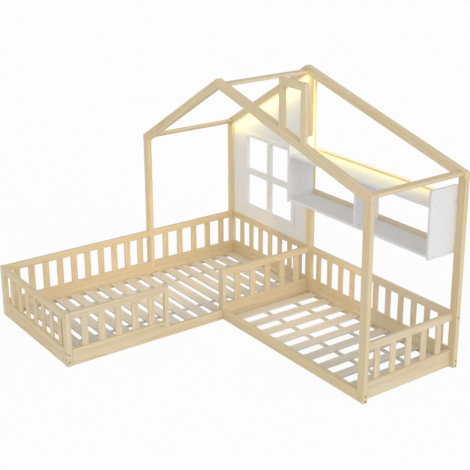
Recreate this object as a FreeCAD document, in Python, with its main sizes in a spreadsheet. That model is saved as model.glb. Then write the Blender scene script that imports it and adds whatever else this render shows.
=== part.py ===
import FreeCAD, Part
import math
import os
import re
import Sketcher

# Corner house bed for two children: a long low bed along X, a short bed running forward from its right
# half, a house frame of posts and rafters over the short bed, a shelf along the right side and a window
# panel behind it.
# Millimetres. +X runs along the long bed, +Y points to its back, +Z is up.
# The origin lies on the floor under the middle of the outer box.

doc = FreeCAD.newDocument("CornerHouseBed")
sheet = doc.addObject("Spreadsheet::Sheet", "Sizes")

SIZES = (
    # Clear spaces between the side boards
    ("long_bed_length", "2026"),
    ("long_bed_width", "972"),
    ("short_bed_length", "1451"),
    ("short_bed_width", "768"),
    # Posts, panels and boards
    ("post_thick", "35"),
    ("post_wide", "62"),
    ("panel_thick", "28"),
    ("rail_high", "50"),
    ("board_high", "70"),
    ("edge_round", "3"),
    ("overrun", "5"),
    # Fence slats and their tenons
    ("fence_gap_high", "214"),
    ("fence_slat_wide", "50"),
    ("fence_slat_thick", "12"),
    ("tenon_long", "12"),
    ("tenon_shoulder", "5"),
    # Corner pieces and the way in
    ("corner_thick", "40"),
    ("corner_deep", "50"),
    ("end_stile_wide", "62"),
    ("inner_post_wide", "56"),
    ("entry_stile_wide", "33"),
    ("entry_wide", "458"),
    ("middle_post_lap", "21"),
    # Slats in each fence, and the end gaps where they are not all alike
    ("back_long_slats", "10"),
    ("back_short_slats", "5"),
    ("left_end_slats", "7"),
    ("entry_slats", "5"),
    ("middle_slats", "5"),
    ("window_slats", "7"),
    ("outer_slats", "11"),
    ("front_slats", "5"),
    ("left_gap_near", "35"),
    ("left_gap_far", "75"),
    ("window_gap_near", "67"),
    ("window_gap_far", "86"),
    ("outer_gap_near", "67"),
    ("outer_gap_far", "53"),
    # Roof
    ("ridge_behind", "22"),
    ("front_eave_top", "1352"),
    ("ridge_rise", "418"),
    ("back_eave_drop", "194"),
    ("front_rafter_thick", "44"),
    ("front_rafter_deep", "56"),
    ("back_rafter_deep", "62"),
    ("beam_wide", "60"),
    ("beam_thick", "22"),
    ("ridge_beam_set", "39"),
    ("ridge_beam_drop", "32"),
    ("front_beam_set", "10"),
    ("back_beam_drop", "18"),
    # Chimney frame
    ("chimney_from_ridge", "699"),
    ("chimney_wide", "260"),
    ("chimney_leg_deep", "41"),
    ("chimney_leg_thick", "28"),
    ("chimney_rise", "139"),
    ("chimney_bar_high", "52"),
    # Bed bases
    ("base_slat_thick", "12"),
    ("base_play", "3"),
    ("base_slat_wide", "78"),
    ("long_base_slats", "17"),
    ("long_base_margin", "4"),
    ("short_base_slats", "9"),
    ("short_gap_near", "91"),
    ("short_gap_far", "34"),
    ("ledger_high", "12"),
    ("ledger_wide", "25"),
    ("near_ledger_wide", "45"),
    ("tape_wide", "38"),
    ("tape_thick", "2"),
    ("long_tape_set", "255"),
    ("short_tape_set", "279"),
    ("far_tape_set", "217"),
    ("slat_screw_set", "12"),
    ("slat_screw_radius", "2"),
    ("slat_screw_head_radius", "3.5"),
    ("slat_screw_head_high", "1.5"),
    ("slat_screw_bite", "7"),
    # White boards
    ("white_thick", "18"),
    ("shelf_under_eave", "91"),
    ("shelf_deep", "232"),
    ("shelf_end_high", "461"),
    ("shelf_set_back", "15"),
    ("shelf_board_rise", "6"),
    ("shelf_open_high", "317"),
    ("upper_rail_rise", "15"),
    ("shelf_screw_radius", "2.5"),
    ("shelf_screw_head_radius", "5"),
    ("shelf_screw_head_high", "2"),
    ("shelf_screw_long", "40"),
    ("shelf_screw_front", "46"),
    ("shelf_screw_back", "24"),
    # Window
    ("sill_above_fence", "116"),
    ("pane_wide", "265"),
    ("pane_high", "265"),
    ("window_bar_wide", "42"),
    ("casing_wide", "42"),
    ("casing_high", "30"),
    ("casing_thick", "8"),
    # Light strips
    ("light_wide", "10"),
    ("light_thick", "4"),
    ("light_set", "3"),
    # Joint bolts
    ("bolt_radius", "3.5"),
    ("bolt_head_radius", "6.5"),
    ("bolt_head_high", "4"),
    ("bolt_bite", "45"),
    ("bolt_low", "12"),
    ("bolt_high", "47"),
    ("bolt_play", "0.2"),
)

for row, (alias, text) in enumerate(SIZES):
    cell = "A" + str(row + 1)
    sheet.set(cell, text)
    sheet.setAlias(cell, alias)
doc.recompute()

ALIASES = set(alias for alias, text in SIZES)
WORD = re.compile(r"[a-z_]+")


def full_name(found):
    word = found.group(0)
    return "Sizes." + word if word in ALIASES else word


def bound(text):
    return WORD.sub(full_name, text)


def number(text):
    return float(sheet.evalExpression(bound(text)))


def tie(thing, prop, text):
    thing.setExpression(prop, bound(text))


# Main lines of the plan and the height, as sums of the named sizes
outer_x = "(panel_thick + long_bed_length)"
total_x = "(" + outer_x + " + panel_thick)"
near_y = "(post_wide + short_bed_length)"
bed_y = "(" + near_y + " + panel_thick)"
back_y = "(" + bed_y + " + long_bed_width)"
total_y = "(" + back_y + " + post_wide)"
right_x = "(" + total_x + " - post_thick)"
short_x = "(" + outer_x + " - short_bed_width)"
open_x = "(" + short_x + " - post_thick)"
middle_x = "(" + open_x + " + panel_thick)"
middle_y = "(" + near_y + " - middle_post_lap)"
middle_back_y = "(" + middle_y + " + post_wide)"
corner_y = "(" + near_y + " + corner_deep)"
stile_y = "(" + back_y + " + panel_thick - end_stile_wide)"
entry_x = "(" + open_x + " - entry_wide - entry_stile_wide)"
fence_high = "(rail_high + fence_gap_high + rail_high)"
fence_top = "(board_high + " + fence_high + ")"

# Roof lines: slopes, upright depths of the rafters, and the lines along their upper and lower edges
ridge_y = "(" + middle_back_y + " + ridge_behind)"
ridge_top = "(front_eave_top + ridge_rise)"
front_slope = "(ridge_rise / " + ridge_y + ")"
back_slope = "((ridge_rise + back_eave_drop) / (" + total_y + " - " + ridge_y + "))"
front_long = "sqrt(1 + " + front_slope + " * " + front_slope + ")"
back_long = "sqrt(1 + " + back_slope + " * " + back_slope + ")"
front_low = "(front_eave_top - front_rafter_deep * " + front_long + ")"
back_top = "(" + ridge_top + " + " + back_slope + " * " + ridge_y + ")"
back_low = "(" + back_top + " - back_rafter_deep * " + back_long + ")"
inner_ridge_y = "((" + back_low + " - " + front_low + ") / (" + front_slope + " + " + back_slope + "))"
seam_y = "((" + back_top + " - " + front_low + ") / (" + front_slope + " + " + back_slope + "))"


def front_top_at(y):
    return "(front_eave_top + " + front_slope + " * (" + y + "))"


def front_low_at(y):
    return "(" + front_low + " + " + front_slope + " * (" + y + "))"


def back_top_at(y):
    return "(" + back_top + " - " + back_slope + " * (" + y + "))"


def back_low_at(y):
    return "(" + back_low + " - " + back_slope + " * (" + y + "))"


def new_body(node, corner):
    body = doc.addObject("PartDesign::Body", node)
    body.Label = node
    tie(body, "Placement.Base.x", corner[0] + " - " + total_x + " / 2")
    tie(body, "Placement.Base.y", corner[1] + " - " + total_y + " / 2")
    tie(body, "Placement.Base.z", corner[2])
    return body


def origin_part(body, role):
    return [part for part in body.Origin.OriginFeatures if part.Role == role][0]


def new_sketch(body, role, lift="0"):
    sketch = body.newObject("Sketcher::SketchObject", body.Name + "_sketch")
    sketch.AttachmentSupport = [(origin_part(body, role), "")]
    sketch.MapMode = "FlatFace"
    if lift != "0":
        tie(sketch, "AttachmentOffset.Base.z", lift)
    return sketch


def name_limit(sketch, limit, text):
    index = sketch.addConstraint(limit)
    name = "limit" + str(index)
    sketch.renameConstraint(index, name)
    tie(sketch, "Constraints." + name, text)


def pin_point(sketch, edge, at, text):
    # A point is held by its distances from the sketch's origin, or by an axis where one of them is zero
    if text[0] == "0":
        sketch.addConstraint(Sketcher.Constraint("PointOnObject", edge, at, -2))
    else:
        name_limit(sketch, Sketcher.Constraint("DistanceX", -1, 1, edge, at, number(text[0])), text[0])
    if text[1] == "0":
        sketch.addConstraint(Sketcher.Constraint("PointOnObject", edge, at, -1))
    else:
        name_limit(sketch, Sketcher.Constraint("DistanceY", -1, 1, edge, at, number(text[1])), text[1])


def draw_outline(sketch, points):
    spots = [FreeCAD.Vector(number(x), number(y), 0) for x, y in points]
    first = sketch.GeometryCount
    count = len(spots)
    for index in range(count):
        sketch.addGeometry(Part.LineSegment(spots[index], spots[(index + 1) % count]), False)
    for index in range(count):
        following = first + (index + 1) % count
        sketch.addConstraint(Sketcher.Constraint("Coincident", first + index, 2, following, 1))
    for index in range(count):
        pin_point(sketch, first + index, 1, points[index])


def draw_box(sketch, left, low, wide, high):
    right = left + " + " + wide if left != "0" else wide
    top = low + " + " + high if low != "0" else high
    draw_outline(sketch, ((left, low), (right, low), (right, top), (left, top)))


def draw_rounded(sketch, left, low, wide, high):
    # Rectangle with its four corners rounded by edge_round
    x0 = number(left)
    y0 = number(low)
    x1 = x0 + number(wide)
    y1 = y0 + number(high)
    r = number("edge_round")
    up = FreeCAD.Vector(0, 0, 1)
    first = sketch.GeometryCount
    sides = (
        ((x0 + r, y0), (x1 - r, y0)),
        ((x1, y0 + r), (x1, y1 - r)),
        ((x1 - r, y1), (x0 + r, y1)),
        ((x0, y1 - r), (x0, y0 + r)),
    )
    for start, end in sides:
        line = Part.LineSegment(FreeCAD.Vector(start[0], start[1], 0), FreeCAD.Vector(end[0], end[1], 0))
        sketch.addGeometry(line, False)
    quarter = math.pi / 2
    corners = (
        ((x1 - r, y0 + r), 3 * quarter),
        ((x1 - r, y1 - r), 0),
        ((x0 + r, y1 - r), quarter),
        ((x0 + r, y0 + r), 2 * quarter),
    )
    for centre, start in corners:
        circle = Part.Circle(FreeCAD.Vector(centre[0], centre[1], 0), up, r)
        sketch.addGeometry(Part.ArcOfCircle(circle, start, start + quarter), False)
    for index in range(4):
        side = first + index
        arc = first + 4 + index
        following = first + (index + 1) % 4
        sketch.addConstraint(Sketcher.Constraint("Tangent", side, 2, arc, 1))
        sketch.addConstraint(Sketcher.Constraint("Tangent", arc, 2, following, 1))
    sketch.addConstraint(Sketcher.Constraint("Horizontal", first))
    sketch.addConstraint(Sketcher.Constraint("Vertical", first + 1))
    sketch.addConstraint(Sketcher.Constraint("Horizontal", first + 2))
    sketch.addConstraint(Sketcher.Constraint("Vertical", first + 3))
    for index in range(3):
        sketch.addConstraint(Sketcher.Constraint("Equal", first + 4 + index, first + 5 + index))
    name_limit(sketch, Sketcher.Constraint("Radius", first + 7, r), "edge_round")
    pin_point(sketch, first + 7, 3, (left + " + edge_round", low + " + edge_round"))
    across = Sketcher.Constraint("DistanceX", first + 7, 3, first + 4, 3, x1 - x0 - r - r)
    name_limit(sketch, across, wide + " - edge_round - edge_round")
    along = Sketcher.Constraint("DistanceY", first + 4, 3, first + 5, 3, y1 - y0 - r - r)
    name_limit(sketch, along, high + " - edge_round - edge_round")


def pad(body, sketch, length, back=False):
    feature = body.newObject("PartDesign::Pad", body.Name + "_pad")
    feature.Profile = sketch
    feature.Reversed = back
    tie(feature, "Length", length)
    return feature


def pocket(body, sketch, length, back=False):
    feature = body.newObject("PartDesign::Pocket", body.Name + "_pocket")
    feature.Profile = sketch
    feature.Reversed = back
    tie(feature, "Length", length)
    return feature


def repeat(body, features, axis, run, count):
    pattern = body.newObject("PartDesign::LinearPattern", body.Name + "_pattern")
    pattern.Originals = features
    pattern.Direction = (origin_part(body, axis), [""])
    tie(pattern, "Length", run)
    tie(pattern, "Occurrences", count)
    body.Tip = pattern
    return pattern


GRAIN = {"x": ("YZ_Plane", False), "y": ("XZ_Plane", True), "z": ("XY_Plane", False)}
TURN = {
    "x": FreeCAD.Rotation(FreeCAD.Vector(0, 1, 0), 90),
    "y": FreeCAD.Rotation(FreeCAD.Vector(1, 0, 0), -90),
    "z": FreeCAD.Rotation(),
}


def timber(node, grain, section, length, corner):
    # One straight piece of wood with rounded long edges
    body = new_body(node, corner)
    role, back = GRAIN[grain]
    sketch = new_sketch(body, role)
    draw_rounded(sketch, "0", "0", section[0], section[1])
    pad(body, sketch, length, back)
    return body


def plate(node, role, outline, thick, corner):
    # One flat piece cut to an outline
    body = new_body(node, corner)
    sketch = new_sketch(body, role)
    draw_outline(sketch, outline)
    pad(body, sketch, thick, role == "XZ_Plane")
    return body


def rod(body, kind, axis, start, radius, length):
    # A round bore or pin from start along the axis
    feature = body.newObject("PartDesign::" + kind + "Cylinder", body.Name + "_rod")
    feature.Placement = FreeCAD.Placement(FreeCAD.Vector(0, 0, 0), TURN[axis])
    tie(feature, "Radius", radius)
    tie(feature, "Height", length)
    tie(feature, "Placement.Base.x", start[0])
    tie(feature, "Placement.Base.y", start[1])
    tie(feature, "Placement.Base.z", start[2])
    return feature


# Upright posts of the house frame. The corner posts end flat under the feet of the rafters.
post_section = ("post_thick", "post_wide")
back_high = back_low_at(back_y)
front_high = front_low_at("post_wide")
timber("post_back_left", "z", post_section, back_high, (open_x, back_y, "0"))
timber("post_back_right", "z", post_section, back_high, (right_x, back_y, "0"))
post_front_left = timber("post_front_left", "z", post_section, front_high, (open_x, "0", "0"))
post_front_right = timber("post_front_right", "z", post_section, front_high, (right_x, "0", "0"))

# The top of the middle post is cut to the slope of the rafter that rests on it
middle_less = front_low_at(middle_y)
middle_high = front_low_at(middle_back_y)
middle_at = (right_x, middle_y, "0")
post_middle = timber("post_middle", "z", post_section, middle_high + " + overrun", middle_at)
slope = new_sketch(post_middle, "YZ_Plane", "0 - overrun")
slope_over = "overrun * " + front_slope
slope_outline = (
    ("0 - overrun", middle_less + " - " + slope_over),
    ("post_wide + overrun", middle_high + " + " + slope_over),
    ("post_wide + overrun", ridge_top + " + overrun"),
    ("0 - overrun", ridge_top + " + overrun"),
)
draw_outline(slope, slope_outline)
pocket(post_middle, slope, "post_thick + overrun + overrun", True)

# Short uprights of the low fences
near_corner = ("0", near_y, "0")
corner_post = timber("corner_post_near", "z", ("corner_thick", "corner_deep"), fence_top, near_corner)
timber("corner_stile_back", "z", ("panel_thick", "end_stile_wide"), fence_top, ("0", stile_y, "0"))
timber("inner_post", "z", ("panel_thick", "inner_post_wide"), fence_top, (open_x, near_y, "0"))
timber("entry_stile", "z", ("entry_stile_wide", "panel_thick"), fence_high, (entry_x, near_y, "board_high"))

# Side boards on the floor, each between two uprights
along_x = ("panel_thick", "board_high")
front_y = "(post_wide - panel_thick)"
long_run = "(" + open_x + " - panel_thick)"
frame_run = "(" + right_x + " - " + short_x + ")"
middle_run = "(" + right_x + " - " + middle_x + ")"
entry_run = "(" + open_x + " - corner_thick)"
left_run = "(" + stile_y + " - " + corner_y + ")"
window_run = "(" + back_y + " - " + middle_back_y + ")"
outer_run = "(" + middle_y + " - post_wide)"
timber("side_board_back_left", "x", along_x, long_run, ("panel_thick", back_y, "0"))
timber("side_board_back_right", "x", along_x, frame_run, (short_x, back_y, "0"))
entry_board = timber("side_board_entry", "x", along_x, entry_run, ("corner_thick", near_y, "0"))
timber("side_board_middle", "x", along_x, middle_run, (middle_x, near_y, "0"))
timber("side_board_front", "x", along_x, frame_run, (short_x, front_y, "0"))
left_board = timber("side_board_left_end", "y", along_x, left_run, ("0", corner_y, "0"))
timber("side_board_window", "y", along_x, window_run, (outer_x, middle_back_y, "0"))
outer_board = timber("side_board_outer", "y", along_x, outer_run, (outer_x, "post_wide", "0"))
open_section = ("post_thick", "board_high")
open_board = timber("side_board_open_side", "y", open_section, "short_bed_length", (open_x, "post_wide", "0"))

# Low fences: two rails with a row of mortises, and slats whose tenons sit in them
slat_inset = "(panel_thick - fence_slat_thick) / 2"
tenon_wide = "(fence_slat_wide - tenon_shoulder - tenon_shoulder)"


def even_gap(run, count):
    return "((" + run + " - " + count + " * fence_slat_wide) / (" + count + " + 1))"


def slat_blank(sketch, grain, start, wide):
    if grain == "x":
        draw_box(sketch, start, slat_inset, wide, "fence_slat_thick")
    else:
        draw_box(sketch, slat_inset, start, "fence_slat_thick", wide)


def fence(name, grain, run, count, corner, near_gap=None, far_gap=None):
    near = near_gap or even_gap(run, count)
    far = far_gap or near
    reach = "(" + run + " - " + near + " - " + far + " - fence_slat_wide)"
    axis = "X_Axis" if grain == "x" else "Y_Axis"
    role, back = GRAIN[grain]
    rails = new_body(name + "_rails", corner)
    section = new_sketch(rails, role)
    draw_rounded(section, "0", "0", "panel_thick", "rail_high")
    draw_rounded(section, "0", "rail_high + fence_gap_high", "panel_thick", "rail_high")
    pad(rails, section, run, back)
    mortise = new_sketch(rails, "XY_Plane", "rail_high - tenon_long")
    slat_blank(mortise, grain, near + " + tenon_shoulder", tenon_wide)
    hole = pocket(rails, mortise, "fence_gap_high + tenon_long + tenon_long", True)
    repeat(rails, [hole], axis, reach, count)
    slats = new_body(name + "_slats", corner)
    core = new_sketch(slats, "XY_Plane", "rail_high - tenon_long")
    slat_blank(core, grain, near + " + tenon_shoulder", tenon_wide)
    tenon = pad(slats, core, "fence_gap_high + tenon_long + tenon_long")
    face = new_sketch(slats, "XY_Plane", "rail_high")
    if grain == "x":
        draw_rounded(face, near, slat_inset, "fence_slat_wide", "fence_slat_thick")
    else:
        draw_rounded(face, slat_inset, near, "fence_slat_thick", "fence_slat_wide")
    blade = pad(slats, face, "fence_gap_high")
    repeat(slats, [tenon, blade], axis, reach, count)
    return rails


entry_fence_run = "(" + entry_x + " - corner_thick)"
fence("fence_back_left", "x", long_run, "back_long_slats", ("panel_thick", back_y, "board_high"))
fence("fence_back_right", "x", frame_run, "back_short_slats", (short_x, back_y, "board_high"))
entry_rails_at = ("corner_thick", near_y, "board_high")
entry_rails = fence("fence_entry", "x", entry_fence_run, "entry_slats", entry_rails_at)
fence("fence_middle", "x", middle_run, "middle_slats", (middle_x, near_y, "board_high"))
fence("fence_front", "x", frame_run, "front_slats", (short_x, front_y, "board_high"))
left_rails_at = ("0", corner_y, "board_high")
left_gaps = ("left_gap_near", "left_gap_far")
left_rails = fence("fence_left_end", "y", left_run, "left_end_slats", left_rails_at, *left_gaps)
window_rails_at = (outer_x, middle_back_y, "board_high")
window_gaps = ("window_gap_near", "window_gap_far")
fence("fence_window", "y", window_run, "window_slats", window_rails_at, *window_gaps)
outer_rails_at = (outer_x, "post_wide", "board_high")
outer_gaps = ("outer_gap_near", "outer_gap_far")
outer_rails = fence("fence_outer", "y", outer_run, "outer_slats", outer_rails_at, *outer_gaps)

# Rafters: the front one runs through to the ridge, the back one butts against its underside.
# Their feet are cut level and stand on the corner posts.
seam_z = front_low_at(seam_y)
front_rafter = (
    ("0", front_high),
    ("post_wide", front_high),
    (seam_y, seam_z),
    (ridge_y, ridge_top),
    ("0", "front_eave_top"),
)
back_rafter = (
    (inner_ridge_y, front_low_at(inner_ridge_y)),
    (back_y, back_high),
    (total_y, back_high),
    (total_y, "front_eave_top - back_eave_drop"),
    (seam_y, seam_z),
)
front_right_x = "(" + total_x + " - front_rafter_thick)"
plate("rafter_front_left", "YZ_Plane", front_rafter, "front_rafter_thick", (open_x, "0", "0"))
plate("rafter_front_right", "YZ_Plane", front_rafter, "front_rafter_thick", (front_right_x, "0", "0"))
plate("rafter_back_left", "YZ_Plane", back_rafter, "post_thick", (open_x, "0", "0"))
plate("rafter_back_right", "YZ_Plane", back_rafter, "post_thick", (right_x, "0", "0"))

# Flat beams between the two frames
flat_beam = ("beam_wide", "beam_thick")
beam_x = "(" + open_x + " + front_rafter_thick)"
beam_run = "(" + front_right_x + " - " + beam_x + ")"
ridge_beam_y = "(" + ridge_y + " - ridge_beam_set)"
ridge_beam_z = "(" + ridge_top + " - ridge_beam_drop - beam_thick)"
timber("ridge_beam", "x", flat_beam, beam_run, (beam_x, ridge_beam_y, ridge_beam_z))
front_beam_z = "(" + front_top_at("front_beam_set") + " - beam_thick)"
timber("eave_beam_front", "x", flat_beam, beam_run, (beam_x, "front_beam_set", front_beam_z))
beam_z = "(" + back_top_at(back_y) + " - back_beam_drop)"
down_y = "(beam_wide / " + back_long + ")"
down_z = "(beam_wide * " + back_slope + " / " + back_long + ")"
under_y = "(beam_thick * " + back_slope + " / " + back_long + ")"
under_z = "(beam_thick / " + back_long + ")"
back_beam = (
    (back_y, beam_z),
    (back_y + " - " + under_y, beam_z + " - " + under_z),
    (back_y + " - " + under_y + " + " + down_y, beam_z + " - " + under_z + " - " + down_z),
    (back_y + " + " + down_y, beam_z + " - " + down_z),
)
plate("eave_beam_back", "YZ_Plane", back_beam, frame_run, (short_x, "0", "0"))

# Chimney frame on the left front rafter
chimney_back_y = "(" + ridge_y + " - chimney_from_ridge)"
chimney_y = "(" + chimney_back_y + " - chimney_wide)"
chimney_top = "(" + ridge_top + " + chimney_rise)"
chimney_legs = new_body("chimney_posts", (open_x, "0", "0"))
for leg_y in (chimney_y, "(" + chimney_back_y + " - chimney_leg_deep)"):
    leg = new_sketch(chimney_legs, "YZ_Plane")
    leg_end = leg_y + " + chimney_leg_deep"
    leg_outline = (
        (leg_y, front_top_at(leg_y)),
        (leg_end, front_top_at(leg_end)),
        (leg_end, chimney_top),
        (leg_y, chimney_top),
    )
    draw_outline(leg, leg_outline)
    pad(chimney_legs, leg, "chimney_leg_thick")
bar_y = "(" + chimney_y + " + chimney_leg_deep)"
bar_run = "(chimney_wide - chimney_leg_deep - chimney_leg_deep)"
bar_corner = (open_x, bar_y, chimney_top + " - chimney_bar_high")
timber("chimney_bar", "y", ("chimney_leg_thick", "chimney_bar_high"), bar_run, bar_corner)

# Ledgers on the floor carry the ends of the base slats
near_ledger_y = "(" + near_y + " + inner_post_wide)"
back_ledger_y = "(" + back_y + " - ledger_wide)"
long_ledgers = new_body("ledgers_long_bed", ("0", "0", "0"))
ledger_boxes = (
    ("corner_thick", near_ledger_y, "(" + outer_x + " - corner_thick)", "near_ledger_wide"),
    ("panel_thick", back_ledger_y, "long_bed_length", "ledger_wide"),
)
for left, low, wide, deep in ledger_boxes:
    ledger = new_sketch(long_ledgers, "XY_Plane")
    draw_box(ledger, left, low, wide, deep)
    pad(long_ledgers, ledger, "ledger_high")
short_ledgers = new_body("ledgers_short_bed", (short_x, "post_wide", "0"))
for left, long in (("0", "short_bed_length"), ("(short_bed_width - ledger_wide)", outer_run)):
    ledger = new_sketch(short_ledgers, "XY_Plane")
    draw_box(ledger, left, "0", "ledger_wide", long)
    pad(short_ledgers, ledger, "ledger_high")

# Slats of the long bed lie along Y, clear of the inner post and the corner post
base_top = "(ledger_high + base_slat_thick)"
long_near = "(" + near_y + " + inner_post_wide + base_play)"
long_far = "(" + back_y + " - base_play)"
long_slat_run = "(" + long_far + " - " + long_near + ")"
long_reach = "(long_bed_length - long_base_margin - long_base_margin - base_slat_wide)"
long_start = "(panel_thick + long_base_margin)"
slat_section = ("base_slat_wide", "base_slat_thick")
long_slats = timber("base_slats_long_bed", "y", slat_section, long_slat_run,
                    (long_start, long_near, "ledger_high"))
repeat(long_slats, [long_slats.Tip], "X_Axis", long_reach, "long_base_slats")

# Slats of the short bed lie along X
short_slat_run = "(short_bed_width - base_play - base_play)"
short_reach = "(short_bed_length - short_gap_near - short_gap_far - base_slat_wide)"
short_start = "(post_wide + short_gap_near)"
short_slats = timber("base_slats_short_bed", "x", slat_section, short_slat_run,
                     (short_x + " + base_play", short_start, "ledger_high"))
repeat(short_slats, [short_slats.Tip], "Y_Axis", short_reach, "short_base_slats")

# Woven tapes under the slats hold them at their spacing
tapes = new_body("slat_tapes", ("0", "0", "ledger_high - tape_thick"))
long_tape_run = long_reach + " + base_slat_wide"
short_tape_run = short_reach + " + base_slat_wide"
tape_boxes = (
    (long_start, bed_y + " + long_tape_set - tape_wide / 2", long_tape_run, "tape_wide"),
    (long_start, back_y + " - far_tape_set - tape_wide / 2", long_tape_run, "tape_wide"),
    (short_x + " + short_tape_set - tape_wide / 2", short_start, "tape_wide", short_tape_run),
    (outer_x + " - far_tape_set - tape_wide / 2", short_start, "tape_wide", short_tape_run),
)
for left, low, wide, deep in tape_boxes:
    tape = new_sketch(tapes, "XY_Plane")
    draw_box(tape, left, low, wide, deep)
    pad(tapes, tape, "tape_thick")

# White shelf on the right side, between the middle post and the front right post: two end panels,
# a bottom and a top board set back between them, and a divider in the middle
shelf_x = "(" + right_x + " - shelf_deep)"
shelf_low = "(front_eave_top - shelf_under_eave - shelf_end_high)"
shelf_run = "(" + middle_y + " - post_wide)"
inside_x = "(" + shelf_x + " + shelf_set_back)"
inside_y = "(post_wide + white_thick)"
inside_deep = "(shelf_deep - shelf_set_back)"
inside_run = "(" + shelf_run + " - white_thick - white_thick)"
bottom_z = "(" + shelf_low + " + shelf_board_rise)"
board_z = "(" + bottom_z + " + white_thick + shelf_open_high)"
shelf_top_z = "(" + board_z + " + white_thick)"
divider_y = "(" + inside_y + " + (" + inside_run + " - white_thick) / 2)"
shelf_ends = new_body("shelf_end_panels", (shelf_x, "post_wide", shelf_low))
for end_y in ("0", "(" + shelf_run + " - white_thick)"):
    end = new_sketch(shelf_ends, "XY_Plane")
    draw_box(end, "0", end_y, "shelf_deep", "white_thick")
    pad(shelf_ends, end, "shelf_end_high")


def white_board(node, wide, deep, high, corner):
    body = new_body(node, corner)
    sketch = new_sketch(body, "XY_Plane")
    draw_box(sketch, "0", "0", wide, deep)
    pad(body, sketch, high)
    return body


bottom_at = (inside_x, inside_y, bottom_z)
top_at = (inside_x, inside_y, board_z)
shelf_bottom = white_board("shelf_bottom", inside_deep, inside_run, "white_thick", bottom_at)
shelf_top = white_board("shelf_top", inside_deep, inside_run, "white_thick", top_at)
white_board("shelf_divider", inside_deep, "white_thick", "shelf_open_high",
            (inside_x, divider_y, bottom_z + " + white_thick"))

# Two wooden rails between the posts carry the shelf at its back
upper_rail_top = "(" + shelf_top_z + " + upper_rail_rise)"
shelf_rails = new_body("shelf_rails", (right_x, "post_wide", "0"))
rail_section = new_sketch(shelf_rails, "XZ_Plane")
draw_rounded(rail_section, "0", shelf_low, "panel_thick", "rail_high")
draw_rounded(rail_section, "0", upper_rail_top + " - rail_high", "panel_thick", "rail_high")
pad(shelf_rails, rail_section, shelf_run, True)

# Window panel between the middle post and the back post, standing on the low fence
panel_x = "(" + total_x + " - white_thick)"
panel_foot = fence_top
panel_outline = (
    (middle_back_y, panel_foot),
    (back_y, panel_foot),
    (back_y, back_low_at(back_y)),
    (inner_ridge_y, front_low_at(inner_ridge_y)),
    (middle_back_y, front_low_at(middle_back_y)),
)
window_panel = plate("window_panel", "YZ_Plane", panel_outline, "white_thick", (panel_x, "0", "0"))
opening_wide = "(pane_wide + window_bar_wide + pane_wide)"
opening_high = "(pane_high + window_bar_wide + pane_high)"
opening_y = "((" + middle_back_y + " + " + back_y + " - " + opening_wide + ") / 2)"
window_sill = "(" + fence_top + " + sill_above_fence)"
upper_sill = window_sill + " + pane_high + window_bar_wide"
pane_spots = (
    (opening_y, window_sill),
    (opening_y + " + pane_wide + window_bar_wide", window_sill),
    (opening_y, upper_sill),
    (opening_y + " + pane_wide + window_bar_wide", upper_sill),
)
panes = new_sketch(window_panel, "YZ_Plane", "0 - overrun")
for pane_y, pane_z in pane_spots:
    draw_box(panes, pane_y, pane_z, "pane_wide", "pane_high")
pocket(window_panel, panes, "white_thick + overrun + overrun", True)

# Raised casing and glazing bars on the inner face of the panel
casing = new_body("window_casing", (panel_x + " - casing_thick", "0", "0"))
casing_sketch = new_sketch(casing, "YZ_Plane")
draw_box(casing_sketch, opening_y + " - casing_wide", window_sill + " - casing_high",
         opening_wide + " + casing_wide + casing_wide", opening_high + " + casing_high + casing_high")
for pane_y, pane_z in pane_spots:
    draw_box(casing_sketch, pane_y, pane_z, "pane_wide", "pane_high")
pad(casing, casing_sketch, "casing_thick")

# Light strips under the back right rafter, down the middle post and along the shelf's upper rail
lights = new_body("light_strips", (right_x + " + light_set", "0", "0"))
strip_drop = "(light_thick * " + back_long + ")"
strip_start = "(" + inner_ridge_y + " + light_wide)"
strip_outline = (
    (strip_start, back_low_at(strip_start) + " - " + strip_drop),
    (back_y, back_low_at(back_y) + " - " + strip_drop),
    (back_y, back_low_at(back_y)),
    (strip_start, back_low_at(strip_start)),
)
post_light_y = "(" + middle_y + " - light_thick)"
post_outline = (
    (post_light_y, upper_rail_top),
    (middle_y, upper_rail_top),
    (middle_y, front_low_at(middle_y)),
    (post_light_y, front_low_at(post_light_y)),
)
shelf_outline = (
    ("post_wide", upper_rail_top),
    (post_light_y, upper_rail_top),
    (post_light_y, upper_rail_top + " + light_thick"),
    ("post_wide", upper_rail_top + " + light_thick"),
)
for strip in (strip_outline, post_outline, shelf_outline):
    light = new_sketch(lights, "YZ_Plane")
    draw_outline(light, strip)
    pad(lights, light, "light_wide")

# Joint bolts: the head is flush in the upright, the shank runs on into the end of the board or rail.
# Each row gives the upright, its bolt face, the axis, where the bolts stand and the pieces that they hold.
bolts = new_body("joint_bolts", ("0", "0", "0"))
low_rail_z = "(board_high + rail_high / 2)"
top_rail_z = "(board_high + rail_high + fence_gap_high + rail_high / 2)"
panel_mid = "panel_thick / 2"


def bolt(upright, upright_at, held, held_at, axis, spot, through):
    # spot is the middle of the bolt's head on the outer face, through is the upright's size along the axis
    along = {"x": 0, "y": 1}[axis]
    span = through + " + bolt_bite"
    before = [spot[0], spot[1], spot[2]]
    before[along] = before[along] + " - overrun"
    local = [before[side] + " - " + upright_at[side] for side in range(3)]
    rod(upright, "Subtractive", axis, local, "bolt_head_radius + bolt_play", "bolt_head_high + overrun")
    rod(upright, "Subtractive", axis, local, "bolt_radius + bolt_play", through + " + overrun + overrun")
    inner = [before[side] + " - " + held_at[side] for side in range(3)]
    rod(held, "Subtractive", axis, inner, "bolt_radius + bolt_play", span + " + overrun")
    rod(bolts, "Additive", axis, spot, "bolt_radius", span)
    rod(bolts, "Additive", axis, spot, "bolt_head_radius", "bolt_head_high")


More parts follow.
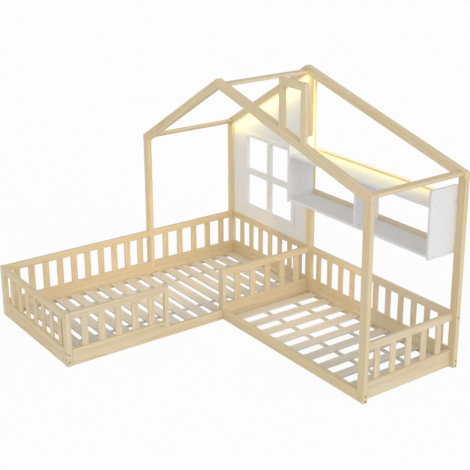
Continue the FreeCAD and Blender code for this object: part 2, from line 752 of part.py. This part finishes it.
entry_board_at = ("corner_thick", near_y, "0")
left_board_at = ("0", corner_y, "0")
mid_near_y = near_y + " + " + panel_mid
for high, held, held_at in (
    ("bolt_low", entry_board, entry_board_at),
    ("bolt_high", entry_board, entry_board_at),
    (low_rail_z, entry_rails, entry_rails_at),
    (top_rail_z, entry_rails, entry_rails_at),
):
    bolt(corner_post, near_corner, held, held_at, "x", ("0", mid_near_y, high), "corner_thick")
for high, held, held_at in (
    ("(bolt_low + bolt_high) / 2", left_board, left_board_at),
    (low_rail_z + " - bolt_low", left_rails, left_rails_at),
):
    bolt(corner_post, near_corner, held, held_at, "y", (panel_mid, near_y, high), "corner_deep")
for high in ("bolt_low", "bolt_high"):
    spot = (open_x + " + post_thick / 2", "0", high)
    bolt(post_front_left, (open_x, "0", "0"), open_board, (open_x, "post_wide", "0"), "y", spot, "post_wide")
for high, held, held_at in (
    ("bolt_low", outer_board, (outer_x, "post_wide", "0")),
    ("bolt_high", outer_board, (outer_x, "post_wide", "0")),
    (top_rail_z, outer_rails, outer_rails_at),
):
    spot = (outer_x + " + " + panel_mid, "0", high)
    bolt(post_front_right, (right_x, "0", "0"), held, held_at, "y", spot, "post_wide")

# Screws: one through each end of every base slat, and two into each shelf board through the near end panel
screws = new_body("screws", ("0", "0", "0"))
pin_long = "base_slat_thick + slat_screw_bite"
head_z = base_top
pin_z = base_top + " - " + pin_long
long_mid = long_start + " + base_slat_wide / 2"
short_mid = short_start + " + base_slat_wide / 2"
long_rows = (long_near + " + slat_screw_set", long_far + " - slat_screw_set")
short_rows = (short_x + " + base_play + slat_screw_set", outer_x + " - base_play - slat_screw_set")


def screw_row(slats, slats_at, ledgers, ledgers_at, spot, axis, reach, count):
    for piece, piece_at in ((slats, slats_at), (ledgers, ledgers_at)):
        local = [spot[side] + " - (" + piece_at[side] + ")" for side in range(3)]
        local[2] = local[2] + " - bolt_play"
        reach_up = pin_long + " + bolt_play + overrun"
        hole = rod(piece, "Subtractive", "z", local, "slat_screw_radius + bolt_play", reach_up)
        repeat(piece, [hole], axis, reach, count)
    pin = rod(screws, "Additive", "z", spot, "slat_screw_radius", pin_long)
    head_at = (spot[0], spot[1], head_z)
    head = rod(screws, "Additive", "z", head_at, "slat_screw_head_radius", "slat_screw_head_high")
    repeat(screws, [pin, head], axis, reach, count)


long_at = (long_start, long_near, "ledger_high")
short_at = (short_x + " + base_play", short_start, "ledger_high")
for row_y in long_rows:
    screw_row(long_slats, long_at, long_ledgers, ("0", "0", "0"), (long_mid, row_y, pin_z), "X_Axis",
              long_reach, "long_base_slats")
short_ledgers_at = (short_x, "post_wide", "0")
for row_x in short_rows:
    screw_row(short_slats, short_at, short_ledgers, short_ledgers_at, (row_x, short_mid, pin_z), "Y_Axis",
              short_reach, "short_base_slats")
ends_at = (shelf_x, "post_wide", shelf_low)
for depth_x, held, held_at in (
    ("shelf_screw_front", shelf_top, top_at),
    ("shelf_deep - shelf_screw_back", shelf_top, top_at),
    ("shelf_screw_front", shelf_bottom, bottom_at),
    ("shelf_deep - shelf_screw_back", shelf_bottom, bottom_at),
):
    spot = (shelf_x + " + " + depth_x, "post_wide", held_at[2] + " + white_thick / 2")
    local_end = [spot[side] + " - " + ends_at[side] for side in range(3)]
    local_end[1] = "0 - overrun"
    through_end = "white_thick + overrun + overrun"
    rod(shelf_ends, "Subtractive", "y", local_end, "shelf_screw_radius + bolt_play", through_end)
    head_deep = "shelf_screw_head_high + overrun"
    rod(shelf_ends, "Subtractive", "y", local_end, "shelf_screw_head_radius + bolt_play", head_deep)
    local_held = [spot[side] + " - (" + held_at[side] + ")" for side in range(3)]
    held_deep = "shelf_screw_long + bolt_play"
    rod(held, "Subtractive", "y", local_held, "shelf_screw_radius + bolt_play", held_deep)
    rod(screws, "Additive", "y", spot, "shelf_screw_radius", "shelf_screw_long")
    rod(screws, "Additive", "y", spot, "shelf_screw_head_radius", "shelf_screw_head_high")

doc.recompute()

# Every object must be sound before anything is written
NODES = [thing for thing in doc.Objects if thing.TypeId == "PartDesign::Body"]
for thing in doc.Objects:
    if "Invalid" in thing.State or "Error" in thing.State:
        raise RuntimeError(thing.Name + " did not build: " + str(thing.State))
for node in NODES:
    if node.Shape.isNull() or not node.Shape.isValid():
        raise RuntimeError(node.Label + " has no sound shape")

os.makedirs("parts", exist_ok=True)
for node in NODES:
    node.Shape.exportStep("parts/" + node.Label + ".step")
    box = node.Shape.BoundBox
    ends = (box.XMin, box.XMax, box.YMin, box.YMax, box.ZMin, box.ZMax)
    print(node.Label, len(node.Shape.Solids), *[round(end) for end in ends])
print(len(NODES), "nodes")
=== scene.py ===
import math

import bpy
from mathutils import Matrix, Vector

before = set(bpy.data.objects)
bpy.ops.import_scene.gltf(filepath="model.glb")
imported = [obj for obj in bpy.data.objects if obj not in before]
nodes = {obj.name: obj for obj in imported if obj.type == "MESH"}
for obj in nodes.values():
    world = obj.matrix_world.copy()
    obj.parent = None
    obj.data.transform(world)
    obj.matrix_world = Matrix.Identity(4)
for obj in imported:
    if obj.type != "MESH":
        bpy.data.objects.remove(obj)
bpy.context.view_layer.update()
scene = bpy.context.scene


def corners(name):
    """Every corner point of a node, in metres in the part's frame."""
    thing = nodes[name]
    return [thing.matrix_world @ point.co for point in thing.data.vertices]


def box(name):
    """The low and the high corner of the box around a node."""
    points = corners(name)
    low = Vector([min(point[side] for point in points) for side in range(3)])
    high = Vector([max(point[side] for point in points) for side in range(3)])
    return low, high


# Colours of the pine: between the rings, on them, and where they are darkest
LIGHT = (0.775, 0.665, 0.47)
WARM = (0.73, 0.59, 0.375)
DARK = (0.65, 0.485, 0.265)
# The house frame's pine is a little more golden
GOLD_LIGHT = (0.785, 0.665, 0.44)
GOLD_WARM = (0.745, 0.595, 0.35)
GOLD_DARK = (0.665, 0.49, 0.25)
# The base slats are raw and paler
RAW_LIGHT = (0.83, 0.775, 0.68)
RAW_WARM = (0.795, 0.735, 0.63)
RAW_DARK = (0.745, 0.675, 0.555)
KNOT = (0.30, 0.16, 0.07)
# The white board, and the darker, warmer tan on its rounded edges
BOARD = (0.85, 0.85, 0.855)
BOARD_EDGE = (0.70, 0.66, 0.60)
# The woven tape, between its threads and on them
WEAVE_LOW = (0.70, 0.65, 0.55)
WEAVE_HIGH = (0.83, 0.78, 0.68)
# The diodes behind their frosted cover, the light that they throw, and what the wood sends back of it
DIODES = (1.0, 0.92, 0.62)
STRIP_LIGHT = (1.0, 0.84, 0.20)
SPILL = (1.0, 0.72, 0.26)

# The wood's patterns, in cells per metre along the grain and across it
KNOT_CELLS = (2.6, 8.5, 8.5)
SLOW_BENDS = (0.7, 9.0, 9.0)
RING_BANDS = (0.9, 34.0, 27.0)
FIBRES = (9.0, 560.0, 560.0)
STREAKS = (1.6, 70.0, 70.0)
# How far apart the patterns of two pieces can lie
PIECE_SHIFT = (7.3, 3.1, 5.7)
# Share of the cells that can hold a knot, and how much of it shows
KNOT_SHARE = 0.34
KNOT_STRENGTH = 0.62
# Each piece's own brightness
PIECE_DARKEST = 0.955
PIECE_SPAN = 0.09

# Soft edges and reliefs, in metres
WOOD_EDGE = 0.0022
BOARD_EDGE_ROUND = 0.0016
WOOD_RELIEF = 0.0006
WEAVE_RELIEF = 0.0006
BOARD_RELIEF = 0.0003
METAL_RELIEF = 0.0002
BEVEL_SAMPLES = 4


class Tree:
    """A material's nodes, with short forms for the ones that are used most."""

    def __init__(self, name):
        self.material = bpy.data.materials.new(name)
        self.material.use_nodes = True
        self.nodes = self.material.node_tree.nodes
        self.links = self.material.node_tree.links
        self.nodes.clear()
        self.out = self.nodes.new("ShaderNodeOutputMaterial")

    def add(self, kind, inputs=None, **settings):
        node = self.nodes.new(kind)
        for key, value in settings.items():
            setattr(node, key, value)
        for key, value in (inputs or {}).items():
            if hasattr(value, "node"):
                self.links.new(value, node.inputs[key])
            else:
                node.inputs[key].default_value = value
        return node

    def math(self, op, a, b=0.0, clamp=False):
        return self.add("ShaderNodeMath", {0: a, 1: b}, operation=op, use_clamp=clamp).outputs[0]

    def scaled(self, value, by, plus=0.0):
        product = self.math("MULTIPLY", value, by)
        return self.math("ADD", product, plus) if plus else product

    def centred(self, value, by):
        return self.scaled(self.math("SUBTRACT", value, 0.5), by)

    def place(self):
        return self.add("ShaderNodeTexCoord").outputs["Object"]

    def stretched(self, spot, scale):
        return self.add("ShaderNodeMapping", {"Vector": spot, "Scale": scale}).outputs[0]

    def turned(self, spot, rotation):
        return self.add("ShaderNodeMapping", {"Vector": spot, "Rotation": rotation}).outputs[0]

    def moved(self, spot, shifts):
        shift = self.add("ShaderNodeCombineXYZ", dict(zip("XYZ", shifts))).outputs[0]
        return self.add("ShaderNodeVectorMath", {0: spot, 1: shift}, operation="ADD").outputs[0]

    def noise(self, spot, scale, detail, roughness=0.5):
        inputs = {"Vector": spot, "Scale": scale, "Detail": detail, "Roughness": roughness}
        return self.add("ShaderNodeTexNoise", inputs).outputs["Fac"]

    def fade(self, value, start, end, most=1.0):
        """Nothing at start, most at end."""
        inputs = {"Value": value, "From Min": start, "From Max": end, "To Min": 0.0, "To Max": most}
        return self.add("ShaderNodeMapRange", inputs).outputs[0]

    def ramp(self, value, stops):
        node = self.add("ShaderNodeValToRGB", {"Fac": value})
        parts = node.color_ramp.elements
        while len(parts) < len(stops):
            parts.new(0.5)
        for part, (pos, colour) in zip(parts, stops):
            part.position = pos
            part.color = tuple(colour) + (1.0,)
        return node.outputs["Color"]

    def mix(self, fac, a, b, kind="MIX"):
        node = self.add("ShaderNodeMix", data_type="RGBA", blend_type=kind)
        for key, value in ((0, fac), (6, a), (7, b)):
            if hasattr(value, "node"):
                self.links.new(value, node.inputs[key])
            elif key == 0:
                node.inputs[key].default_value = value
            else:
                node.inputs[key].default_value = tuple(value) + (1.0,)
        return node.outputs[2]

    def soft_edge(self, radius):
        return self.add("ShaderNodeBevel", {"Radius": radius}, samples=BEVEL_SAMPLES).outputs[0]

    def relief(self, height, strength, depth, normal=None):
        inputs = {"Strength": strength, "Distance": depth, "Height": height}
        if normal:
            inputs["Normal"] = normal
        return self.add("ShaderNodeBump", inputs).outputs[0]

    def shaded(self, colour, roughness, normal, **inputs):
        inputs = {key.replace("_", " "): value for key, value in inputs.items()}
        inputs.update({"Base Color": colour, "Roughness": roughness, "Normal": normal})
        surface = self.add("ShaderNodeBsdfPrincipled", inputs)
        self.links.new(surface.outputs[0], self.out.inputs["Surface"])
        return self.material


def grey(v):
    return (v, v, v)


def top_slope(rafter, end):
    """Angle of a rafter's top edge, from the ridge down to its end, which min or max of y picks."""
    points = corners(rafter)
    ridge = max(points, key=lambda point: point.z)
    foot_y = end(point.y for point in points)
    foot = max((point for point in points if math.isclose(point.y, foot_y)), key=lambda point: point.z)
    return math.atan2(ridge.z - foot.z, abs(ridge.y - foot.y))


QUARTER = math.pi / 2
GRAIN_TURN = {"x": (0.0, 0.0, 0.0), "y": (0.0, 0.0, -QUARTER), "z": (0.0, QUARTER, 0.0)}
ROOF_TURN = {
    "front": -top_slope("rafter_front_left", min),
    "back": top_slope("rafter_back_left", max),
}


def along_grain(t, spot, grain):
    """Coordinates with the wood's length along X."""
    if grain in ROOF_TURN:
        spot = t.turned(spot, (ROOF_TURN[grain], 0.0, 0.0))
        grain = "y"
    return t.turned(spot, GRAIN_TURN[grain])


def pine(name, grain, light, warm, dark, knots=0.2, rough=0.5):
    """Pale softwood: growth rings, fine fibres, a tint for each piece and a few small knots."""
    t = Tree(name)
    place = t.place()
    island = t.add("ShaderNodeNewGeometry").outputs["Random Per Island"]
    along = along_grain(t, place, grain)
    spot = t.moved(along, [t.scaled(island, far) for far in PIECE_SHIFT])

    # Knots are sparse stretched cells
    cell_inputs = {"Vector": t.stretched(spot, KNOT_CELLS), "Scale": 1.0, "Randomness": 1.0}
    cell = t.add("ShaderNodeTexVoronoi", cell_inputs)
    chance = t.add("ShaderNodeSeparateColor", {"Color": cell.outputs["Color"]}).outputs[0]
    picked = t.math("GREATER_THAN", chance, 1.0 - KNOT_SHARE * knots)
    near = t.math("MULTIPLY", t.fade(cell.outputs["Distance"], 0.30, 0.02), picked)
    knot = t.math("MULTIPLY", t.fade(cell.outputs["Distance"], 0.085, 0.045), picked)

    # Growth rings are long bands, bent by a slow noise and by the knots
    slow = t.noise(t.stretched(spot, SLOW_BENDS), 1.0, 3.0)
    bend = t.math("ADD", t.scaled(slow, 3.2), t.scaled(near, 1.7))
    bent = t.moved(t.stretched(spot, RING_BANDS), (0.0, bend, bend))
    ring_inputs = {"Vector": bent, "Scale": 0.55, "Distortion": 1.4, "Detail": 2.0, "Detail Scale": 0.7}
    ring_kind = {"wave_type": "BANDS", "bands_direction": "DIAGONAL", "wave_profile": "SAW"}
    rings = t.add("ShaderNodeTexWave", ring_inputs, **ring_kind).outputs["Fac"]
    fibre = t.noise(t.stretched(spot, FIBRES), 1.0, 4.0, 0.62)
    streak = t.noise(t.stretched(spot, STREAKS), 1.0, 3.0, 0.55)
    late_wood = t.scaled(t.math("POWER", rings, 2.2), 0.50)
    tone = t.math("ADD", late_wood, t.centred(fibre, 0.55))
    tone = t.math("ADD", tone, t.centred(streak, 0.85), clamp=True)
    wood = t.ramp(tone, ((0.0, light), (0.45, warm), (1.0, dark)))

    # Each piece has a tint of its own
    piece = t.scaled(island, PIECE_SPAN, PIECE_DARKEST)
    parts = {"Red": piece, "Green": t.scaled(piece, 0.995), "Blue": t.math("POWER", piece, 1.6)}
    tint = t.add("ShaderNodeCombineColor", parts).outputs[0]
    wood = t.mix(1.0, wood, tint, "MULTIPLY")
    heart = t.mix(t.scaled(near, 0.22), wood, tuple(c * 0.72 for c in dark))
    wood = t.mix(t.scaled(knot, KNOT_STRENGTH), heart, KNOT)

    height = t.math("ADD", t.scaled(fibre, 0.55), t.scaled(rings, -0.35))
    normal = t.relief(height, 0.35, WOOD_RELIEF, t.soft_edge(WOOD_EDGE))
    shine = t.scaled(fibre, 0.16, rough - 0.08)
    return t.shaded(wood, shine, normal, IOR=1.45, Specular_IOR_Level=0.35)


def laminate(name, tone):
    """White matt board with a faint orange-peel and darker, warmer rounded edges."""
    t = Tree(name)
    place = t.place()
    soft = t.soft_edge(BOARD_EDGE_ROUND)
    peel = t.noise(place, 420.0, 2.0)
    cloud = t.noise(place, 5.0, 3.0)
    shade = t.ramp(cloud, ((0.35, tuple(c * 0.985 for c in tone)), (0.65, tone)))
    flat = t.add("ShaderNodeNewGeometry").outputs["Normal"]
    turn = t.add("ShaderNodeVectorMath", {0: flat, 1: soft}, operation="DOT_PRODUCT").outputs["Value"]
    # Where the rounded edges turn away from the flat face, up to 35 percent of the darker tan is mixed in
    edge_tinted = t.mix(t.fade(turn, 0.995, 0.8, 0.35), shade, BOARD_EDGE)
    normal = t.relief(peel, 0.12, BOARD_RELIEF, soft)
    return t.shaded(edge_tinted, t.scaled(peel, 0.1, 0.38), normal, Specular_IOR_Level=0.4)


def webbing(name):
    """Woven tape: two crossed sets of threads."""
    t = Tree(name)
    place = t.place()
    threads = [
        t.add("ShaderNodeTexWave", {"Vector": place, "Scale": 160.0}, bands_direction=way).outputs["Fac"]
        for way in "XY"
    ]
    weave = t.math("MULTIPLY", *threads)
    shade = t.ramp(weave, ((0.0, WEAVE_LOW), (1.0, WEAVE_HIGH)))
    return t.shaded(shade, 0.85, t.relief(weave, 0.5, WEAVE_RELIEF))


def metal(name, low, high):
    """Plated steel with fine turning marks."""
    t = Tree(name)
    marks = t.noise(t.place(), 900.0, 3.0)
    shade = t.ramp(marks, ((0.3, grey(low)), (0.7, grey(high))))
    return t.shaded(shade, t.scaled(marks, 0.2, 0.3), t.relief(marks, 0.3, METAL_RELIEF), Metallic=0.85)


def glow(name, colour, power):
    """Lit strip: small bright diodes under a frosted cover."""
    t = Tree(name)
    dot_inputs = {"Vector": t.place(), "Scale": 9.0}
    dots = t.add("ShaderNodeTexWave", dot_inputs, bands_direction="DIAGONAL").outputs["Fac"]
    bright = t.scaled(dots, 0.1 * power, 0.95 * power)
    lamp = t.add("ShaderNodeEmission", {"Color": colour + (1.0,), "Strength": bright})
    t.links.new(lamp.outputs[0], t.out.inputs["Surface"])
    return t.material


# Materials on the CAD nodes, by the start of the node's name: the longest start that fits counts
PINE = {key: pine("pine_" + key, key, LIGHT, WARM, DARK) for key in ("x", "y", "z")}
GOLD = {
    key: pine("gold_" + key, key, GOLD_LIGHT, GOLD_WARM, GOLD_DARK)
    for key in ("x", "y", "z", "front", "back")
}
RAW = {
    key: pine("raw_" + key, key, RAW_LIGHT, RAW_WARM, RAW_DARK, knots=0.35, rough=0.62)
    for key in ("x", "y")
}
WHITE = laminate("white_board", BOARD)
MATERIALS = {
    "post_": GOLD["z"],
    "chimney_posts": GOLD["z"],
    "chimney_bar": GOLD["y"],
    "rafter_front": GOLD["front"],
    "rafter_back": GOLD["back"],
    "ridge_beam": PINE["x"],
    "eave_beam": GOLD["x"],
    "corner_": PINE["z"],
    "inner_post": PINE["z"],
    "entry_stile": PINE["z"],
    "base_slats_long": RAW["y"],
    "base_slats_short": RAW["x"],
    "ledgers_long": PINE["x"],
    "ledgers_short": PINE["y"],
    "slat_tapes": webbing("webbing"),
    "shelf_rails": PINE["y"],
    "shelf_": WHITE,
    "window_": WHITE,
    "light_strips": glow("light", DIODES, 1.05),
    "joint_bolts": metal("steel", 0.15, 0.26),
    "screws": metal("zinc", 0.62, 0.78),
}
WALL_STARTS = ("fence_", "side_board_")
WALLS_ALONG_Y = ("left_end", "window", "outer", "open_side")
GOLDEN_WALLS = ("fence_left_end", "side_board_left_end", "side_board_open_side")


def material_for(name):
    if name.startswith(WALL_STARTS):
        tones = GOLD if name.startswith(GOLDEN_WALLS) else PINE
        if name.endswith("_slats"):
            return tones["z"]
        return tones["y" if any(wall in name for wall in WALLS_ALONG_Y) else "x"]
    for start in sorted(MATERIALS, key=len, reverse=True):
        if name.startswith(start):
            return MATERIALS[start]
    raise ValueError("no material for " + name)


for name, thing in nodes.items():
    thing.data.materials.clear()
    thing.data.materials.append(material_for(name))


# Stage: a white floor, which rays from the camera and from mirrors see mostly as white paper
FLOOR_SIZE = 120.0
FLOOR_DROP = 0.0005
FLOOR_TONES = (0.895, 0.90)
PAPER_SHARE = 0.94


def white_floor():
    t = Tree("floor_white")
    inputs = {"Vector": t.place(), "Scale": 3.0}
    cloud = t.add("ShaderNodeTexNoise", inputs).outputs["Fac"]
    tone = t.ramp(cloud, ((0.4, grey(FLOOR_TONES[0])), (0.6, grey(FLOOR_TONES[1]))))
    base = t.add("ShaderNodeBsdfDiffuse", {"Color": tone})
    paper = t.add("ShaderNodeEmission", {"Color": (1.0, 1.0, 1.0, 1.0), "Strength": 1.0})
    ray = t.add("ShaderNodeLightPath")
    seen = t.math("ADD", ray.outputs["Is Camera Ray"], ray.outputs["Is Glossy Ray"])
    seen = t.math("ADD", seen, ray.outputs["Is Transmission Ray"], clamp=True)
    share = t.scaled(seen, PAPER_SHARE)
    both = t.add("ShaderNodeMixShader", {0: share, 1: base.outputs[0], 2: paper.outputs[0]})
    t.links.new(both.outputs[0], t.out.inputs["Surface"])
    return t.material


def level_square(name, size, z):
    h = size / 2
    mesh = bpy.data.meshes.new(name)
    mesh.from_pydata([(-h, -h, z), (h, -h, z), (h, h, z), (-h, h, z)], [], [(0, 1, 2, 3)])
    thing = bpy.data.objects.new(name, mesh)
    scene.collection.objects.link(thing)
    return thing


floor = level_square("floor", FLOOR_SIZE, -FLOOR_DROP)
floor.data.materials.append(white_floor())

# World: plain white light, a little stronger from the horizon than from overhead
HORIZON = 0.92
OVERHEAD = 0.43
world = bpy.data.worlds.new("studio")
scene.world = world
world.use_nodes = True
sky = world.node_tree
sky.nodes.clear()
out = sky.nodes.new("ShaderNodeOutputWorld")
ambient = sky.nodes.new("ShaderNodeBackground")
ambient.inputs["Color"].default_value = (1.0, 1.0, 1.0, 1.0)
direction = sky.nodes.new("ShaderNodeTexCoord")
height = sky.nodes.new("ShaderNodeSeparateXYZ")
sky.links.new(direction.outputs["Generated"], height.inputs[0])
fade = sky.nodes.new("ShaderNodeMapRange")
fade.inputs["From Min"].default_value = 0.0
fade.inputs["From Max"].default_value = 1.0
fade.inputs["To Min"].default_value = HORIZON
fade.inputs["To Max"].default_value = OVERHEAD
sky.links.new(height.outputs["Z"], fade.inputs["Value"])
sky.links.new(fade.outputs[0], ambient.inputs["Strength"])
sky.links.new(ambient.outputs[0], out.inputs["Surface"])


def sun(name, direction, strength, degrees):
    lamp = bpy.data.lights.new(name, "SUN")
    lamp.energy = strength
    lamp.angle = math.radians(degrees)
    thing = bpy.data.objects.new(name, lamp)
    thing.rotation_euler = Vector(direction).to_track_quat("-Z", "Y").to_euler()
    scene.collection.objects.link(thing)


sun("key", (-0.05, 0.88, -0.47), 0.76, 35)
sun("fill", (0.93, 0.20, -0.30), 0.38, 60)


def warm_lamp(name, start, end, wide, aim, power, colour):
    """Warm light that the strips throw: a lamp from start to end, facing aim."""
    start = Vector(start)
    end = Vector(end)
    lamp = bpy.data.lights.new(name, "AREA")
    lamp.shape = "RECTANGLE"
    lamp.size = (end - start).length
    lamp.size_y = wide
    lamp.energy = power
    lamp.color = colour
    along = (end - start).normalized()
    back = -Vector(aim)
    back = (back - along * back.dot(along)).normalized()
    turn = Matrix((along, back.cross(along), back)).transposed()
    thing = bpy.data.objects.new(name, lamp)
    thing.rotation_euler = turn.to_euler()
    thing.location = (start + end) / 2
    thing.visible_camera = False
    scene.collection.objects.link(thing)


# The lamps beside the strips lie a little in front of the right wall's posts
STRIP_LAMP_WIDE = 0.02
END_CLEAR = 0.01
post_low, post_high = box("post_middle")
strip_low, strip_high = box("light_strips")
shelf_low, shelf_high = box("shelf_top")

rafter_x = post_low.x - 0.036
rafter_start = (rafter_x, post_high.y + END_CLEAR, strip_high.z)
rafter_end = (rafter_x, strip_high.y - END_CLEAR, strip_low.z + END_CLEAR)
warm_lamp("lamp_rafter", rafter_start, rafter_end, STRIP_LAMP_WIDE, (0.3, 0.0, -0.95), 0.75, STRIP_LIGHT)

post_lamp_x = post_low.x - 0.021
post_lamp_y = post_low.y - 0.105
post_lamp_low = (post_lamp_x, post_lamp_y, shelf_high.z + 0.031)
post_lamp_high = (post_lamp_x, post_lamp_y, strip_high.z - 0.082)
warm_lamp("lamp_post", post_lamp_low, post_lamp_high, STRIP_LAMP_WIDE, (0.1, 1.0, 0.0), 0.26, STRIP_LIGHT)

shelf_lamp_x = post_low.x - 0.006
shelf_lamp_z = shelf_high.z + 0.061
shelf_near = (shelf_lamp_x, shelf_low.y + END_CLEAR, shelf_lamp_z)
shelf_far = (shelf_lamp_x, shelf_high.y - END_CLEAR, shelf_lamp_z)
warm_lamp("lamp_shelf", shelf_near, shelf_far, STRIP_LAMP_WIDE, (-0.6, 0.0, -0.8), 0.40, STRIP_LIGHT)

# Two wide ones low over the beds stand for the light that comes back from the wood
SPILL_HIGH = 0.45
SPILL_AIM = (0.0, 1.0, -0.35)
warm_lamp("lamp_room", (-0.6, 0.62, SPILL_HIGH), (0.88, 0.62, SPILL_HIGH), 0.4, SPILL_AIM, 1.35, SPILL)
warm_lamp("lamp_short", (0.30, -0.40, SPILL_HIGH), (0.95, -0.40, SPILL_HIGH), 0.5, SPILL_AIM, 0.75, SPILL)

scene.view_settings.view_transform = "Standard"

# Camera, fitted to the photograph's straight edges: its place in metres, its turn in degrees, the lens
# and sensor in millimetres, and the pixel at which it looks straight ahead
CAMERA_AT = (-3.7432, -5.4909, 3.2964)
YAW = math.radians(36.18)
PITCH = math.radians(18.51)
LENS = 80.27
SENSOR = 36.0
PHOTO_SIZE = 470.0
PHOTO_MIDDLE = PHOTO_SIZE / 2
AHEAD_PIXEL = (248.3, 192.9)
FARTHEST = 200.0

cam_data = bpy.data.cameras.new("camera")
cam_data.sensor_fit = "HORIZONTAL"
cam_data.sensor_width = SENSOR
cam_data.lens = LENS
cam_data.shift_x = (PHOTO_MIDDLE - AHEAD_PIXEL[0]) / PHOTO_SIZE
cam_data.shift_y = (AHEAD_PIXEL[1] - PHOTO_MIDDLE) / PHOTO_SIZE
cam_data.clip_end = FARTHEST
camera = bpy.data.objects.new("camera", cam_data)
ahead = Vector((math.sin(YAW) * math.cos(PITCH), math.cos(YAW) * math.cos(PITCH), -math.sin(PITCH)))
camera.location = CAMERA_AT
camera.rotation_euler = ahead.to_track_quat("-Z", "Y").to_euler()
scene.collection.objects.link(camera)
scene.camera = camera
